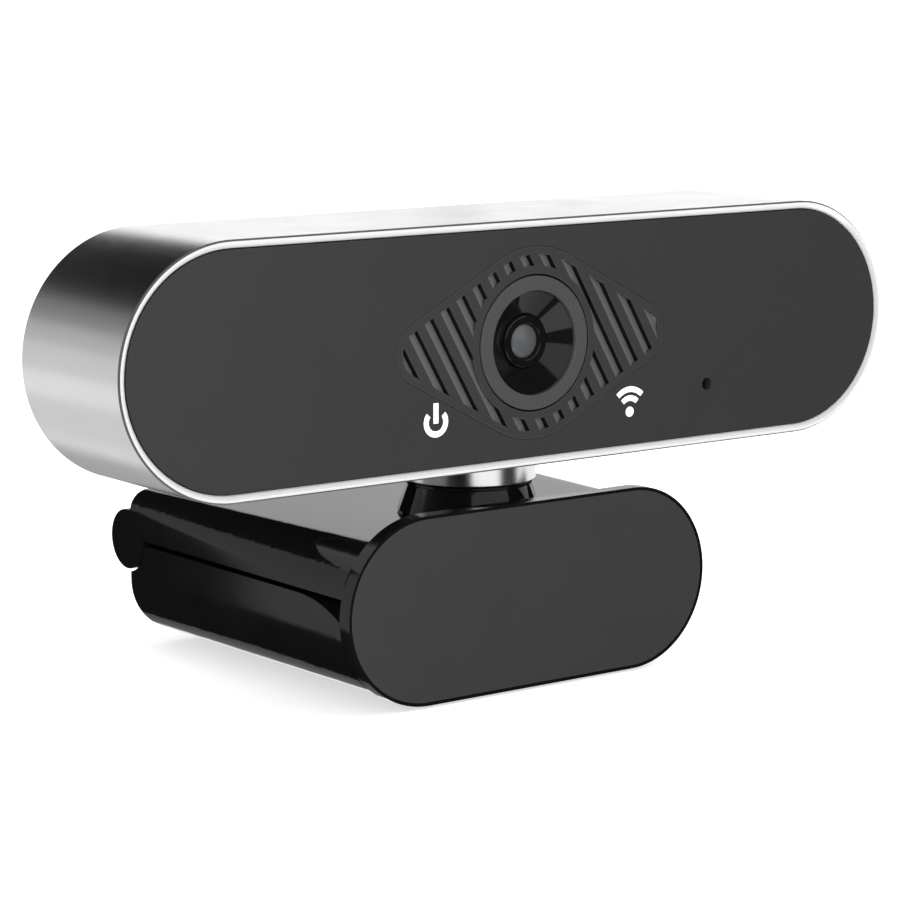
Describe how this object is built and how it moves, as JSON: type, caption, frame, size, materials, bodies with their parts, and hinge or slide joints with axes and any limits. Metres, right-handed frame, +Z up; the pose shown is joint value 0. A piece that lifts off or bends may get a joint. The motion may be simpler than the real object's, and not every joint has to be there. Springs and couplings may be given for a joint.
{
  "type": "webcam",
  "caption": "Wide tube-shaped webcam head with a lens in a grooved diamond panel, panning on a neck over a folding screen clip.",
  "frame": {"origin": "on the table, at the bottom centre of the object's box, on the axis of the tripod socket", "axes": "+Z up; the front with the lens faces -Y; +X is to the camera's own left"},
  "size_m": [0.104, 0.0492, 0.0518],
  "materials": {
    "satin_aluminium": "satin, fine lengthwise grain, bright cut rim",
    "bright_metal": "smooth bright metal",
    "matte_panel": "fine matte dark grey",
    "grille_plastic": "matte dark grey with slanting grooves",
    "bezel_plastic": "satin grey ring",
    "gloss_black": "high-gloss black",
    "clip_plate": "fine matte dark grey",
    "black_moulding": "fine moulded texture",
    "lens_glass": "coated glass",
    "rubber": "matte rubber",
    "white_icon": "milky white light guide",
    "circuit_board": "green solder mask",
    "chip": "black package",
    "header_white": "off-white moulding",
    "light_yellow": "small lights",
    "steel": "plated steel",
    "brass": "turned brass"
  },
  "bodies": {
    "clip": {"clip_arm": "gloss_black", "jaw_plate": "clip_plate", "jaw_pad": "rubber", "arm_pad": "rubber", "swivel_collar": "gloss_black", "hinge_pin": "steel", "friction_washers": "steel"},
    "head": {"head_housing": "satin_aluminium", "front_panel": "matte_panel", "diamond_grille": "grille_plastic", "lens_bezel": "bezel_plastic", "lens_baffle": "gloss_black", "lens_barrel": "black_moulding", "front_lens": "lens_glass", "rear_lens": "lens_glass", "lens_holder": "black_moulding", "infrared_filter": "lens_glass", "image_sensor": "chip", "main_board": "circuit_board", "board_screws": "steel", "image_processor": "chip", "cable_header": "header_white", "power_icon": "white_icon", "signal_icon": "white_icon", "status_lights": "light_yellow", "microphone": "chip", "microphone_boot": "rubber", "rear_cover": "black_moulding", "rear_cover_screws": "steel", "cable_gland": "rubber", "neck_ring": "bright_metal", "neck_shaft": "steel", "neck_washer": "steel", "neck_spring_washer": "steel", "neck_nut": "steel"},
    "leg": {"rear_leg": "gloss_black", "leg_cover": "black_moulding", "leg_cover_screws": "steel", "leg_grip_pad": "rubber", "leg_feet": "rubber", "tripod_nut": "brass"}
  },
  "joints": [
    {"name": "head_pan", "type": "hinge", "parent": "clip", "child": "head", "pos_m": [0, -0.01273, 0.02205], "axis": [0, 0, 1], "range_deg": [-180, 180]},
    {"name": "leg_swing", "type": "hinge", "parent": "clip", "child": "leg", "pos_m": [0, 0.02113, 0.01252], "axis": [1, 0, 0], "range_deg": [0, 120]}
  ]
}
